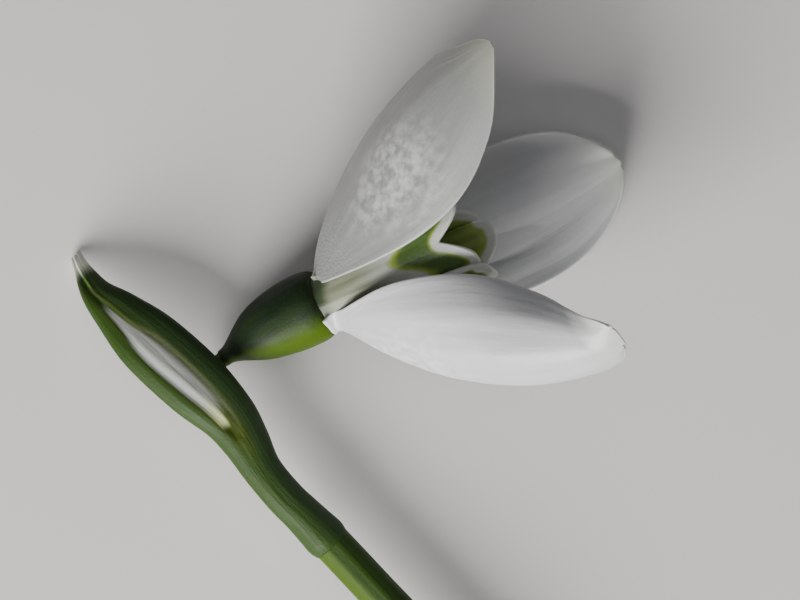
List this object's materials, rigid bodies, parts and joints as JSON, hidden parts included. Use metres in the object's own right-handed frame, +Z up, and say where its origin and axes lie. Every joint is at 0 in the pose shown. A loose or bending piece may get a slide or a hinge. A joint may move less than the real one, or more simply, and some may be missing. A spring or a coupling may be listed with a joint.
{
  "type": "snowdrop flower",
  "caption": "Picked snowdrop lying on its side: cut scape, two-keeled spathe, short pedicel, green ovary, open white outer tepals round a notched green-marked cup with stamens and style",
  "frame": {"origin": "middle of the part's footprint, on the surface that it lies on", "axes": "+Z up; +Y along the length of the part, from the cut end of the scape towards the flower; +X to the right when seen from above"},
  "size_m": [0.0428, 0.0618, 0.0166],
  "materials": {
    "scape": "fresh green stalk, satin wax bloom, fine lengthwise lines",
    "spathe": "green keels joined by a silvery white, papery membrane with fine lengthwise veins",
    "pedicel": "fresh green, satin",
    "ovary": "deep green with paler streaks, satin, fine papillae",
    "outer_tepal": "pure white petal tissue, soft silky sheen, fine papillae and faint lengthwise veins",
    "inner_tepal": "white petal tissue with a green horseshoe round the notch outside and green stripes inside",
    "stamen": "orange pollen-dusted anther on a short pale filament, matt",
    "style": "pale green, satin"
  },
  "bodies": {
    "root": {"scape": "scape", "spathe": "spathe", "pedicel": "pedicel", "ovary": "ovary", "outer_tepal_upper": "outer_tepal", "outer_tepal_lower": "outer_tepal", "outer_tepal_back": "outer_tepal", "inner_tepal_front": "inner_tepal", "inner_tepal_left": "inner_tepal", "inner_tepal_right": "inner_tepal", "stamen_1": "stamen", "stamen_2": "stamen", "stamen_3": "stamen", "stamen_4": "stamen", "stamen_5": "stamen", "stamen_6": "stamen", "style": "style"}
  },
  "joints": []
}
